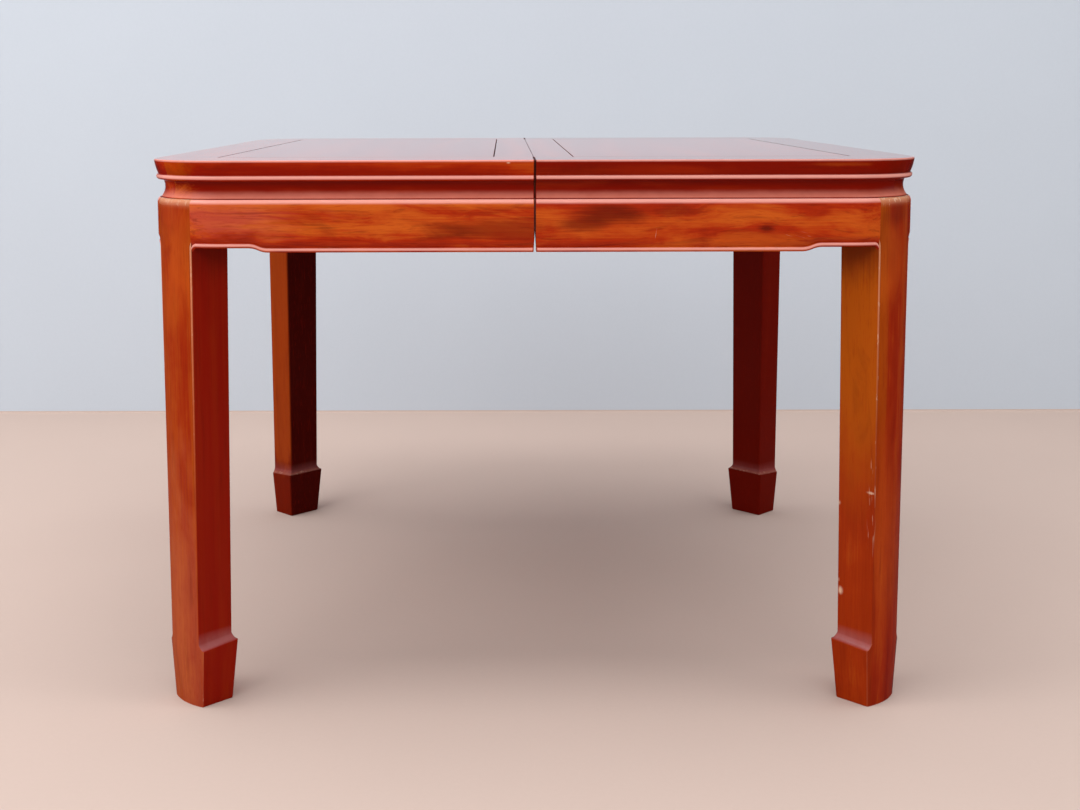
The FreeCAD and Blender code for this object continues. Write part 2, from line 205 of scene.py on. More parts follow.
def grainFields(p, s):  # patterns that the layers of one wood share
    axis, seed = s["axis"], s["seed"]
    g = SimpleNamespace(axis=axis, spot=p.place())
    g.place = p.vectors("ADD", g.spot, (seed * 1.7, seed * 0.9, seed * 2.3))
    slow = p.vectors("MULTIPLY", g.place, grainAlong(axis, s["figure"]))
    wander = p.vectors("SUBTRACT", pattern(p, slow, axis, "wander", "Color"), (0.5, 0.5, 0.5))
    bent = p.vectors("ADD", g.place, p.vectors("MULTIPLY", wander, (s["wander"],) * 3))
    settings = {"wave_type": "RINGS", "rings_direction": "XYZ"[axis], "wave_profile": "SIN"}
    sockets = {"Vector": bent, "Scale": s["ringScale"], "Distortion": 2.5, "Detail": 3.0, "Detail Scale": 2.0}
    g.rings = p.node("ShaderNodeTexWave", settings, sockets, "Fac")
    g.broad = pattern(p, slow, axis, "broad")
    g.fibre = pattern(p, g.place, axis, "fibre")
    g.pores = pattern(p, g.place, axis, "pores")
    g.cloud = pattern(p, g.place, axis, "cloud")
    g.patchy = pattern(p, g.place, axis, "patchy")
    g.smudge = pattern(p, g.place, axis, "smudge")
    g.curl = pattern(p, bent, axis, "curl")
    g.lines = pattern(p, bent, axis, "lines")
    face = p.attribute("side")
    g.side = p.maths("MAXIMUM", face, 0.0)
    g.outer = p.maths("MAXIMUM", face * -1.0, 0.0)
    # the wear value carries real wear and dirt, and also painted highlights on crests and some painted shade
    g.wear = p.attribute("wear")
    return g


def grainColour(p, s, g):
    grain = g.broad * s["spread"] + g.rings * s["ringGain"] + g.fibre * s["fibreGain"] + g.curl * s["curl"]
    middle = (s["spread"] + s["ringGain"] + s["fibreGain"] + s["curl"]) / 2
    shade = p.band(grain + (s["tone"] - middle), *woodBands["shade"])
    stops = [(0.0, woodTones["dark"]), (0.45, woodTones["red"]), (1.0, woodTones["orange"])]
    colour = p.node("ShaderNodeValToRGB", {"stops": stops}, {"Fac": shade})
    if s["level"] < 1.0:
        levels = p.mixed(g.outer, grey(s["level"]), grey(s["outerLevel"]))
        colour = p.mixed(1.0, colour, levels, "MULTIPLY")
    return colour


def cutColourAndFaceLight(p, s, g, colour):  # tones of the part of the log that a piece is cut from, and painted light and shade on a leg's flat sides
    if s["side"]:  # only on the two flat sides of a leg: sapwood on the front right leg, painted shade on the front left leg, painted light on the back left leg
        cut = s["side"]
        up = p.band(p.along(g.spot, "Z") + (g.cloud - 0.5) * 0.20, cut["start"], cut["full"])
        streaks = g.side * (pattern(p, g.place, g.axis, "streaks") * 0.5 + 0.72)
        for (tone, level), mask in ((cut["foot"], streaks), (cut["shaft"], streaks * up)):
            colour = p.mixed(mask * level, colour, woodTones[tone])
    if s["sap"]:
        colour = p.mixed(sapMask(p, g, s["sap"]), colour, woodTones["sap"])
    return p.mixed(p.band(g.cloud, *woodBands["smoke"]) * s["smoke"], colour, woodTones["smoke"])


def markedColour(p, s, g, colour):  # patches, dark lines and pores
    for tone, centre, size, level in s["patches"]:
        edge = g.patchy if tone == "chip" else g.cloud
        ragged = (edge - 0.5) * patchEdges.get(tone, patchEdges["other"])
        colour = p.mixed(patchMask(p, g, centre, size, ragged) * level, colour, woodTones[tone])
    for tone, centre, size, level in s["facePatches"]:  # only on the outer face of a leg
        ragged = (g.cloud - 0.5) * patchEdges["face"]
        colour = p.mixed(patchMask(p, g, centre, size, ragged) * g.outer * level, colour, woodTones[tone])
    colour = p.mixed(p.band(g.lines, *woodBands["lines"]) * s["lines"], colour, woodTones["smoke"])
    return p.mixed(p.band(g.pores, *woodBands["pores"]) * woodLevels["pores"], colour, woodTones["dark"])


def distance(p, g, centre, size):  # 0 at the centre, 1 at the given size
    away = p.vectors("SUBTRACT", g.spot, centre)
    return p.measure("LENGTH", p.vectors("MULTIPLY", away, tuple(1 / v for v in size)))


def patchMask(p, g, centre, size, ragged):  # soft blotch about a place
    far = distance(p, g, centre, size) + ragged + (g.fibre - 0.5) * 0.9
    return 1.0 - p.band(far, *woodBands["patch"])


def scratchMask(p, g, centre, size, lean):  # short pale strokes about a place
    near = 1.0 - p.band(distance(p, g, centre, size), *woodBands["scratched"])
    turned = p.node("ShaderNodeVectorRotate", {"rotation_type": "Y_AXIS"}, {"Vector": g.spot, "Angle": lean})
    strokes = pattern(p, turned, 2, "strokes") + (g.patchy - 0.5) * 0.3
    return p.band(strokes, *woodBands["strokes"]) * near * woodLevels["strokes"]


def sapMask(p, g, sap):  # pale sapwood on one side of the log
    side = p.measure("DOT_PRODUCT", p.vectors("SUBTRACT", g.spot, sap["centre"]), sap["side"])
    strips = pattern(p, g.place, g.axis, "strips")
    across = p.band(side + (strips - 0.5) * 0.03, sap["start"], sap["full"])
    up = p.band(p.along(g.spot, "Z") + (g.cloud - 0.5) * 0.25, sap["low"], sap["high"])
    return across * (up * (1.0 - sap["least"]) + sap["least"]) * sap["level"]


def lacquerWood(name, look):
    s = {**woodLook, **look}
    p = Paint(name)
    g = grainFields(p, s)
    colour = markedColour(p, s, g, cutColourAndFaceLight(p, s, g, grainColour(p, s, g)))
    dirt = p.band(g.wear * -1.0, *woodBands["dirt"])  # wear below nought is dirt, and on the waist's upper cove also painted shade under the frame's overhang
    # rubbed crests turn pink or tan: worn lacquer, and above all painted highlights on beads, shoulders and the arris
    rubbedAndHighlit = p.band(g.wear * 0.95 + g.patchy * 0.15, *woodBands["rubbedAndHighlit"])
    bare = p.band(g.wear * 0.5 + g.patchy * 0.8, *woodBands["bare"])
    colour = p.mixed(rubbedAndHighlit * woodLevels["rubbedAndHighlit"], colour, woodTones[s["rubAndHighlightTone"]])
    # a painted mauve sheen in the feet's coves, standing in for a reflection of the sky
    colour = p.mixed(p.attribute("haze") * (g.patchy * 0.7 + 0.45), colour, woodTones["haze"])
    colour = p.mixed(bare * woodLevels["bare"], colour, woodTones["bare"])
    if s["chips"]:
        flakes = pattern(p, g.place, g.axis, "flakes") + g.wear * 0.16
        flakes = p.band(flakes, *woodBands["flakes"]) * p.band(g.wear, *woodBands["flakeWear"])
        colour = p.mixed(flakes * s["chips"], colour, woodTones["chip"])
    for centre, size, lean in s["scratches"]:
        colour = p.mixed(scratchMask(p, g, centre, size, lean), colour, woodTones["chip"])
    colour = p.mixed(dirt * woodLevels["dirt"], colour, woodTones["grime"])
    rough = s["rough"]
    roughness = rough + g.smudge * (rough * 0.5) + rubbedAndHighlit * 0.06 + bare * 0.25 + dirt * 0.5
    height = g.fibre * 0.5 + g.rings * 0.25 + g.pores * 0.25
    bump = p.node("ShaderNodeBump", {}, {"Strength": s["bump"], "Distance": s["bumpDepth"], "Height": height})
    coat = (1.0 - bare * 0.7 - dirt * 0.7) * (g.smudge * 0.6 + 0.7) * s["coat"]
    sockets = {
        "Base Color": colour, "Roughness": roughness, "Normal": bump, "Specular IOR Level": s["shine"],
        "Coat Weight": coat, "Coat Roughness": rough * 0.5, "Coat IOR": s["coatIor"],
    }
    return p.output(p.node("ShaderNodeBsdfPrincipled", {}, sockets))


# where the photo shows figure, sapwood, chips and scratches, and where shadow, shade and sheen are painted; metres in
# the table's frame
# a patch is tone, centre, size and level, a scratch is centre, size and lean

topMarks = (
    ("sap", (-0.500, -0.500, 0.758), (0.050, 0.050, 0.030), 0.45),
    ("chip", (-0.0356, -0.5325, 0.7662), (0.003, 0.010, 0.0012), 0.90),
)
rightTopMarks = (
    ("red", (0.185, -0.53, 0.757), (0.075, 0.03, 0.007), 0.32),
    ("orange", (0.410, -0.53, 0.763), (0.055, 0.03, 0.004), 0.26),
    ("smoke", (0.050, -0.53, 0.757), (0.060, 0.03, 0.008), 0.28),
    # painted shade on the right corner, which turns away from the light
    ("smoke", (0.500, -0.50, 0.754), (0.045, 0.045, 0.030), 0.40),
)
waistMarks = (("orange", (-0.495, -0.495, 0.724), (0.045, 0.045, 0.016), 0.75),)
apronMarks = {
    "patches": (
        ("orange", (-0.172, -0.53, 0.693), (0.030, 0.2, 0.012), 0.60),
        ("red", (-0.415, -0.53, 0.685), (0.060, 0.2, 0.040), 0.45),
        # painted sheen over the left apron's upper part
        ("worn", (-0.400, -0.53, 0.690), (0.110, 0.2, 0.036), 0.14),
        ("red", (-0.080, -0.53, 0.676), (0.090, 0.2, 0.026), 0.60),
        ("smoke", (-0.120, -0.53, 0.672), (0.045, 0.2, 0.012), 0.40),
        ("smoke", (-0.045, -0.53, 0.676), (0.070, 0.2, 0.018), 0.45),
        ("red", (0.100, -0.53, 0.693), (0.080, 0.2, 0.024), 0.60),
        ("smoke", (0.100, -0.53, 0.697), (0.050, 0.2, 0.013), 0.75),
        ("smoke", (0.065, -0.53, 0.684), (0.040, 0.2, 0.010), 0.60),
        ("orange", (0.300, -0.53, 0.661), (0.150, 0.2, 0.014), 0.55),
        ("smoke", (0.191, -0.53, 0.701), (0.030, 0.2, 0.008), 0.45),
        ("smoke", (0.312, -0.53, 0.677), (0.014, 0.2, 0.007), 0.85),
    ),
    "scratches": (
        ((0.166, -0.53, 0.671), (0.008, 0.1, 0.010), -0.15),
        ((0.350, -0.53, 0.667), (0.022, 0.1, 0.006), 1.25),
    ),
}
leftLegMarks = {
    # painted shadow of the apron on the top of the leg
    "patches": (("shade", (-0.4445, -0.499, 0.655), (0.055, 0.055, 0.050), 0.50),),
    "facePatches": (
        ("orange", (-0.485, -0.512, 0.630), (0.050, 0.050, 0.100), 0.40),
        ("tan", (-0.485, -0.512, 0.120), (0.060, 0.060, 0.260), 0.12),
    ),
    # the deep tone on the sides is painted shade where they face away from the light
    "side": {"foot": ("deep", 0.95), "shaft": ("deep", 0.0), "start": 0.0, "full": 1.0},
}
rightLegMarks = {
    "patches": (
        # painted shadow of the apron on the top of the leg
        ("shade", (0.4445, -0.499, 0.655), (0.055, 0.055, 0.058), 0.62),
        ("chip", (0.4335, -0.4815, 0.158), (0.0038, 0.0050, 0.0065), 0.85),
        ("chip", (0.4295, -0.4785, 0.173), (0.0025, 0.006, 0.004), 0.80),
        ("chip", (0.4295, -0.4785, 0.285), (0.0025, 0.006, 0.004), 0.80),
        ("chip", (0.4295, -0.4785, 0.126), (0.0018, 0.004, 0.010), 0.70),
        ("chip", (0.4640, -0.5190, 0.308), (0.005, 0.010, 0.002), 0.80),
    ),
    "facePatches": (
        ("orange", (0.485, -0.512, 0.240), (0.040, 0.040, 0.150), 0.26),
        ("orange", (0.485, -0.512, 0.630), (0.040, 0.040, 0.070), 0.35),
        ("smoke", (0.492, -0.505, 0.694), (0.034, 0.034, 0.020), 0.45),
    ),
    "scratches": (((0.466, -0.520, 0.290), (0.006, 0.02, 0.080), 0.0),),
    "side": {"foot": ("sap", 0.0), "shaft": ("sap", 0.95), "start": 0.26, "full": 0.50},
    "sap": {
        "centre": (0.46, -0.46, 0.0), "side": (-0.7071, -0.7071, 0.0), "start": 0.016, "full": 0.034,
        "low": 0.27, "high": 0.50, "least": 0.22, "level": 0.70,
    },
}
# lighter tones on the sides: painted light on the lit face of a leg otherwise in shade
backLegMarks = {"side": {"foot": ("red", 0.25), "shaft": ("orange", 0.31), "start": 0.08, "full": 0.14}}

topLook = {"rubAndHighlightTone": "paleHighlight", "rough": 0.04, "bump": 0.002, "spread": 0.5, "shine": 0.14, "coat": 0.14}
rightTopLook = {**topLook, "tone": 0.20, "level": 0.80, "smoke": 0.4, "patches": rightTopMarks}
waistLook = {"smoke": 0.2, "shine": 0.07, "coat": 0.07}
apronLook = {"rubAndHighlightTone": "paleHighlight", "figure": 0.22, "ringScale": 7.0, "curl": 0.50, "lines": 0.35, "spread": 0.60}
rightApronLook = {**apronLook, **apronMarks, "tone": 0.52, "spread": 0.42, "curl": 0.40}
legLook = {"axis": 2, "rubAndHighlightTone": "tan", "rough": 0.2, "figure": 0.05, "spread": 0.45, "ringGain": 0.10, "smoke": 0.25}
frontLegLook = {**legLook, "shine": 0.10, "coat": 0.12}
backLegLook = {**legLook, "shine": 0.07, "coat": 0.07, "chips": 0.8}
woods = {
    "frameLongLeft": {**topLook, "axis": 0, "seed": 1.0, "tone": 0.40, "patches": topMarks},
    "frameLongRight": {**rightTopLook, "axis": 0, "seed": 1.4},
    "frameCrossLeft": {**topLook, "axis": 1, "seed": 2.0, "tone": 0.36},
    # its lower level is painted shade on the right end, which turns away from the light
    "frameCrossRight": {**topLook, "axis": 1, "seed": 2.4, "tone": 0.30, "level": 0.70},
    "panel": {**topLook, "axis": 1, "seed": 3.0, "tone": 0.30, "ringScale": 6.0},
    "waistLongLeft": {**waistLook, "axis": 0, "seed": 4.0, "tone": 0.22, "level": 0.86, "patches": waistMarks},
    "waistLongRight": {**waistLook, "axis": 0, "seed": 4.4, "tone": 0.18, "level": 0.84},
    "waistCrossLeft": {**waistLook, "axis": 1, "seed": 5.0, "tone": 0.34},
    # its lower level is painted shade on the right end, which turns away from the light
    "waistCrossRight": {**waistLook, "axis": 1, "seed": 5.4, "tone": 0.28, "level": 0.70},
    "apronLongLeft": {**apronLook, **apronMarks, "axis": 0, "seed": 6.0, "tone": 0.58},
    "apronLongRight": {**rightApronLook, "axis": 0, "seed": 6.4},
    "apronCross": {**apronLook, "axis": 1, "seed": 7.0, "tone": 0.58},
    # level and outerLevel set a leg's faces apart: painted shade, darkest on the back legs under the table
    "legFrontLeft": {
        **frontLegLook, **leftLegMarks, "seed": 8.0, "tone": 0.56, "level": 0.78, "outerLevel": 0.73, "chips": 0.4,
    },
    "legFrontRight": {
        **frontLegLook, **rightLegMarks, "seed": 9.0, "tone": 0.46, "level": 0.73, "outerLevel": 0.77, "chips": 0.9,
    },
    "legBackLeft": {**backLegLook, **backLegMarks, "seed": 10.0, "tone": 0.18, "level": 0.21, "outerLevel": 0.80},
    "legBackRight": {**backLegLook, "seed": 11.0, "tone": 0.14, "level": 0.48, "outerLevel": 0.85},
}

# unfinished hardwood of the hidden gear

gearLook = {
    "dark": rgb(0.150, 0.062, 0.026), "light": rgb(0.360, 0.180, 0.090), "grime": rgb(0.070, 0.038, 0.024),
    "grimeLevel": 0.45, "rough": 0.52, "fibreRough": 0.22, "shine": 0.3, "bump": 0.18, "bumpDepth": 0.0005,
}


def planedWood(name, axis, seed):
    s = gearLook
    p = Paint(name)
    place = p.vectors("ADD", p.place(), (seed, seed * 0.6, seed * 1.4))
    broad = pattern(p, place, axis, "gearBroad")
    fibre = pattern(p, place, axis, "gearFibre")
    colour = p.mixed(p.band(broad * 0.7 + fibre * 0.5, *woodBands["gearShade"]), s["dark"], s["light"])
    grime = p.band(pattern(p, place, axis, "gearGrime"), *woodBands["gearGrime"]) * s["grimeLevel"]
    colour = p.mixed(grime, colour, s["grime"])
    height = fibre * 0.7 + broad * 0.3
    bump = p.node("ShaderNodeBump", {}, {"Strength": s["bump"], "Distance": s["bumpDepth"], "Height": height})
    roughness = s["rough"] + fibre * s["fibreRough"]
    sockets = {"Base Color": colour, "Roughness": roughness, "Normal": bump, "Specular IOR Level": s["shine"]}
    return p.output(p.node("ShaderNodeBsdfPrincipled", {}, sockets))


finishes = {name: lacquerWood(name, look) for name, look in woods.items()}
finishes["gearLong"] = planedWood("gearLong", 0, 1.0)
finishes["gearCross"] = planedWood("gearCross", 1, 2.0)
print("finishes made:", len(finishes))


# mesh helpers for the left front quarter; sections and rings are in millimetres, with a value on each point for wear
# and dirt that also paints highlights and shade

plan = {"corner": 428.0, "seam": 0.4, "dirt": 0.8, "clean": 2.2, "cornerSteps": 24, "shoulderSteps": 10}
edgeLook = {"soft": 0.45, "segments": 2, "angle": 38.0, "flatWeight": 60}
meshSlack = {"weld": 2e-6, "cut": 1e-7}  # in metres
halves = {"left": 1, "right": -1}
ends = {"front": 1, "back": -1}


def between(a, b, t):
    return a + (b - a) * t


def clamped(t):
    return min(1.0, max(0.0, t))


def arcThrough(a, b, c, count):
    ax, ay, bx, by, cx, cy = *a, *b, *c
    aa, bb, cc = ax * ax + ay * ay, bx * bx + by * by, cx * cx + cy * cy
    d = 2 * (ax * (by - cy) + bx * (cy - ay) + cx * (ay - by))
    ux = (aa * (by - cy) + bb * (cy - ay) + cc * (ay - by)) / d
    uy = (aa * (cx - bx) + bb * (ax - cx) + cc * (bx - ax)) / d
    radius = sqrt((ax - ux) ** 2 + (ay - uy) ** 2)
    start = atan2(ay - uy, ax - ux)
    sweep = (atan2(cy - uy, cx - ux) - start) % (2 * pi)
    if (atan2(by - uy, bx - ux) - start) % (2 * pi) > sweep:
        sweep -= 2 * pi
    turns = [start + sweep * i / (count - 1) for i in range(count)]
    return [(ux + radius * cos(t), uy + radius * sin(t)) for t in turns]


def quarterRound(x, y, deep, tall, steps):  # from straight out to straight up, about (x, y)
    turns = [pi / 2 * i / steps for i in range(steps + 1)]
    return [(x + deep * cos(t), y + tall * sin(t)) for t in turns]


def easedShoulder(face, s):  # a round taller than it is deep
    deep, tall = s["shoulder"], s["shoulderHeight"]
    return quarterRound(face - deep, s["top"] - tall, deep, tall, plan["shoulderSteps"])


def worn(points, wear):
    return [(r, z, wear) for r, z in points]


def wornAndHighlitBy(points, wearsAndHighlights):
    return [(r, z, wear) for (r, z), wear in zip(points, wearsAndHighlights)]


def dirty(ring):  # dirt gathers where the halves meet
    return [(x, y, z, -1.0) for x, y, z, w in ring]


def frontRing(section, x):
    return [(x, -plan["corner"] - r, z, w) for r, z, w in section]


def endRing(section, y):
    return [(-plan["corner"] - r, y, z, w) for r, z, w in section]


def cornerRings(section, start, end, steps=None):  # 0 faces the front, 90 faces the end
    c = plan["corner"]
    steps = steps or plan["cornerSteps"]
    rings = []
    for i in range(steps + 1):
        turn = radians(between(start, end, i / steps))
        rings.append([(-c - r * sin(turn), -c - r * cos(turn), z, w) for r, z, w in section])
    return rings


def fromDiagonal(u, v):  # u runs out along the corner's diagonal, v across it
    return -plan["corner"] - sqrt(0.5) * (u - v), -plan["corner"] - sqrt(0.5) * (u + v)


def seamRings(section, dirt):
    return [dirty(frontRing(section, -plan["seam"])), dirty(frontRing(section, -plan["seam"] - dirt)),
            frontRing(section, -plan["clean"]), frontRing(section, -plan["corner"] / 2)]


def swapY(rings):
    return [[(x, -y, z, w) for x, y, z, w in ring] for ring in reversed(rings)]


def mirroredY(place):
    return Vector((place[0], -place[1], 0.0))


def woodMesh(name, shells, cuts, flips):
    bm = bmesh.new()
    wear = bm.verts.layers.float.new("wear")
    side = bm.verts.layers.float.new("side")
    haze = bm.verts.layers.float.new("haze")
    for rings in shells:
        loops = []
        for ring in rings:
            loops.append([bm.verts.new((p[0] * mm, p[1] * mm, p[2] * mm)) for p in ring])
            for vert, point in zip(loops[-1], ring):
                vert[wear] = point[3]
                vert[side], vert[haze] = point[4:6] if len(point) > 4 else (0.0, 0.0)
        for a, b in zip(loops, loops[1:]):
            for i in range(len(a)):
                bm.faces.new((a[i - 1], a[i], b[i], b[i - 1]))
        bm.faces.new(loops[0])
        bm.faces.new(loops[-1])
    bmesh.ops.remove_doubles(bm, verts=bm.verts, dist=meshSlack["weld"])
    for point, normal in cuts:  # what lies on the normal's side goes
        geom = bm.verts[:] + bm.edges[:] + bm.faces[:]
        made = bmesh.ops.bisect_plane(bm, geom=geom, dist=meshSlack["cut"], clear_outer=True,
                                      plane_co=Vector(point) * mm, plane_no=normal)
        rim = [e for e in made["geom_cut"] if isinstance(e, bmesh.types.BMEdge)]
        bmesh.ops.edgeloop_fill(bm, edges=rim)
    for vert in bm.verts:
        vert.co.x *= flips[0]
        vert.co.y *= flips[1]
    bmesh.ops.recalc_face_normals(bm, faces=bm.faces)
    mesh = bpy.data.meshes.new(name)
    bm.to_mesh(mesh)
    bm.free()
    return mesh


def buildPiece(node, finish, shells, flips, cuts=(), soft=edgeLook["soft"]):
    name = node + "_wood"
    piece = bpy.data.objects.new(name, woodMesh(name, shells, cuts, flips))
    scene.collection.objects.link(piece)
    soften(piece, soft)
    piece.data.materials.append(finishes[finish])
    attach(piece, "left_half" if flips[0] > 0 else "right_half")
    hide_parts(node)


def soften(piece, width):
    edges = piece.modifiers.new("softEdges", "BEVEL")
    edges.width = width * mm
    edges.segments = edgeLook["segments"]
    edges.limit_method = "ANGLE"
    edges.angle_limit = radians(edgeLook["angle"])
    piece.data.shade_smooth()
    flats = piece.modifiers.new("flatFaces", "WEIGHTED_NORMAL")
    flats.weight = edgeLook["flatWeight"]
    ready = piece.evaluated_get(bpy.context.evaluated_depsgraph_get())
    mesh = bpy.data.meshes.new_from_object(ready)
    piece.modifiers.clear()
    piece.data = mesh


# top frame with its moulded edge

frameShape = {
    "radius": 104.0, "low": 742.0, "top": 770.0, "stileInner": 0.0, "railInner": 17.0,
    "slope": 5.0, "slopeHeight": 20.0, "swell": 0.6, "slopePoints": 9, "beadSwell": 2.4,
    # the bead's and the arris's rub values paint their highlights in the pale tone
    "beadHighlight": (0.0, 0.0, 0.2, 0.6, 0.95, 1.0, 1.0, 1.0, 0.7, 0.3, 0.0),
    "arris": 2.0, "arrisSteps": 5, "arrisHighlight": 0.76, "rim": 4.0, "joint": 1.2, "jointDepth": 8.0,
}


def frameSection(inner):
    s = frameShape
    foot = s["radius"] - s["slope"]
    slopeFoot = s["top"] - s["slopeHeight"]
    arrisLow = s["top"] - s["arris"]
    beadMiddle = (foot + s["beadSwell"], (s["low"] + slopeFoot) / 2)
    bead = arcThrough((foot, s["low"]), beadMiddle, (foot, slopeFoot), len(s["beadHighlight"]))
    middle = ((foot + s["radius"]) / 2 + s["swell"], (slopeFoot + arrisLow) / 2)
    slope = arcThrough((foot, slopeFoot), middle, (s["radius"], arrisLow), s["slopePoints"])
    arris = quarterRound(s["radius"] - s["arris"], arrisLow, s["arris"], s["arris"], s["arrisSteps"])
    points = [(inner, s["low"], 0.0)] + wornAndHighlitBy(bead, s["beadHighlight"])
    points += worn(slope[1:-1], 0.0) + worn(arris, s["arrisHighlight"])
    points += [(s["radius"] - s["rim"], s["top"], 0.0), (inner + s["joint"], s["top"], 0.0)]
    return points + [(inner, s["top"], -1.0), (inner, s["top"] - s["jointDepth"], -1.0)]


def buildFrame():
    s = frameShape
    panelCorner = Vector((-plan["corner"] - s["railInner"], -plan["corner"], 0.0))
    mitre = Vector((-s["radius"], s["radius"] - s["railInner"], 0.0)).normalized()
    stile = frameSection(s["stileInner"])
    rail = frameSection(s["railInner"])
    stileRings = seamRings(stile, plan["dirt"]) + cornerRings(stile, 0, 90)
    railHalf = cornerRings(rail, 0, 90)
    railRings = railHalf + [endRing(rail, 0.0)] + swapY(railHalf)
    railCuts = [(panelCorner, -mitre), (mirroredY(panelCorner), -mirroredY(mitre))]
    for half, flipX in halves.items():
        for end, flipY in ends.items():
            node = half + "_" + end + "_stile"
            finish = "frameLong" + half.title()
            buildPiece(node, finish, [stileRings], (flipX, flipY), [(panelCorner, mitre)])
        buildPiece(half + "_end_rail", "frameCross" + half.title(), [railRings], (flipX, 1), railCuts)


buildFrame()
print("top frame built")


# floating panels: tongue in the frame's groove, eased board flush with the top

panelShape = {
    "seamSide": 55.0, "endSide": 445.0, "depth": 428.0, "tongue": 7.0, "reveal": 1.2, "ease": 0.6, "clean": 1.1,
    "low": 757.0, "tongueTop": 763.0, "top": 770.0, "easeWear": -0.6, "soft": 0.2,
}


def panelRing(grow, z, wear=0.0):
    s = panelShape
    x0, x1, y = -s["endSide"] - grow, -s["seamSide"] + grow, s["depth"] + grow
    return [(x0, -y, z, wear), (x1, -y, z, wear), (x1, y, z, wear), (x0, y, z, wear)]


def buildPanels():
    s = panelShape
    tongue, reveal, ease, top = s["tongue"], s["reveal"], s["ease"], s["top"]
    rings = [panelRing(tongue, s["low"]), panelRing(tongue, s["tongueTop"])]
    rings += [panelRing(-reveal, s["tongueTop"], -1.0), panelRing(-reveal, top - ease, -1.0)]
    rings += [panelRing(-reveal - ease, top, s["easeWear"]), panelRing(-reveal - s["clean"], top)]
    for half, flipX in halves.items():
        buildPiece(half + "_panel", "panel", [rings], (flipX, 1), soft=s["soft"])


buildPanels()
print("panels built")


# coved waist

waistShape = {
    "low": 717.0, "high": 742.0, "inner": 76.5, "top": 92.0, "neck": 89.5, "foot": 95.5,
    # up the cove: dirt in the joint at its foot, a painted highlight on the flare, painted shade under the frame's
    # overhang near its top
    "wear": (-1.0, 0.74, 0.78, 0.72, 0.65, 0.57, 0.48, 0.38, 0.25, 0.1, 0.0, -0.2, -0.28, -0.34, -0.4),
}


def waistSection():
    s = waistShape
    neck = (s["neck"], (s["low"] + s["high"]) / 2)
    cove = arcThrough((s["foot"], s["low"]), neck, (s["top"], s["high"]), len(s["wear"]))
    return [(s["inner"], s["low"], 0.0)] + wornAndHighlitBy(cove, s["wear"]) + [(s["inner"], s["high"], 0.0)]


def buildWaist():
    section = waistSection()
    longRings = seamRings(section, plan["dirt"] / 2) + cornerRings(section, 0, 45)
    crossHalf = cornerRings(section, 45, 90)
    crossRings = crossHalf + [endRing(section, 0.0)] + swapY(crossHalf)
    for half, flipX in halves.items():
        for end, flipY in ends.items():
            node = half + "_" + end + "_waist"
            buildPiece(node, "waistLong" + half.title(), [longRings], (flipX, flipY))
        buildPiece(half + "_end_waist", "waistCross" + half.title(), [crossRings], (flipX, 1))


buildWaist()
print("waist built")


# aprons: rounded shoulder, quirked bead, foot that steps up to the legs in an ogee

apronShape = {
    "face": 100.5, "inner": 76.5, "low": 645.5, "top": 717.0,
    "shoulder": 4.5, "shoulderHeight": 8.5, "shoulderBreak": 1.5,
    # rub values paint the highlights along the shoulder and the bead; the shoulder's last point is dirt in the joint
    "shoulderWearAndHighlight": (0.1, 0.3, 0.55, 0.75, 0.9, 1.0, 1.0, 1.0, 1.0, 0.8, -1.0),
    "beadHeight": 7.0, "beadSwell": 2.2, "beadHighlight": (0.0, 0.0, 0.2, 0.5, 0.85, 1.0, 1.0, 0.85, 0.5, 0.1, 0.0),
    "quirk": 3.2, "fall": 8.0, "fallSteps": 8,
    "rise": 6.0, "riseLength": 40.0, "ogee": 28.0, "ogeeSteps": 14,
    "seam": 0.25, "seamGape": 1.6, "gapeTop": 672.0, "seamDirt": -0.8,
    "legHalf": 38.5, "curl": 6.0, "curlInner": 90.0, "turnSteps": 60,
}


def apronSection(lift):
    s = apronShape
    low = s["low"] + lift
    quirk = s["face"] - s["quirk"]
    beadHigh = low + s["beadHeight"]
    beadMiddle = (quirk + s["beadSwell"], low + s["beadHeight"] / 2)
    bead = arcThrough((quirk, low), beadMiddle, (quirk, beadHigh), len(s["beadHighlight"]))
    fall = []
    for i in range(1, s["fallSteps"] + 1):
        t = i / s["fallSteps"]
        fall.append((quirk + s["quirk"] * sin(t * pi / 2), beadHigh + s["fall"] * t))
    shoulderLow = s["top"] - s["shoulderHeight"] - s["shoulderBreak"]
    points = [(s["inner"], s["gapeTop"], 0.0), (s["inner"], low, 0.0)] + wornAndHighlitBy(bead, s["beadHighlight"])
    points += worn(fall, 0.0) + [(s["face"], s["gapeTop"], 0.0), (s["face"], shoulderLow, 0.0)]
    points += wornAndHighlitBy(easedShoulder(s["face"], s), s["shoulderWearAndHighlight"])
    return points + [(s["inner"], s["top"], 0.0)]


def apronLift(along):  # height of the foot above its low run, from the corner centre inward
    s = apronShape
    t = along - s["riseLength"]
    radius = (s["ogee"] ** 2 + s["rise"] ** 2) / (4 * s["rise"])
    if t <= 0:
        return s["rise"]
    if t >= s["ogee"]:
        return 0.0
    if t < s["ogee"] / 2:
        return s["rise"] - radius + sqrt(radius ** 2 - t ** 2)
    return radius - sqrt(radius ** 2 - (s["ogee"] - t) ** 2)


def curled(rings):  # the beaded foot turns down where it meets the leg
    s = apronShape
    fallLow = s["low"] + s["rise"] + s["beadHeight"]
    made = []
    for ring in rings:
        made.append([])
        for x, y, z, w in ring:
            t = clamped((abs(abs(x) - abs(y)) / sqrt(2) - s["legHalf"]) / s["curl"])
            drop = s["curl"] * (1 - sqrt(1 - (1 - t) ** 2)) * (1 - clamped((z - fallLow) / s["fall"]))
            inside = Vector((abs(x) - plan["corner"], abs(y) - plan["corner"])).length < s["curlInner"]
            made[-1].append((x, y, z if inside else z - drop, w))
    return made


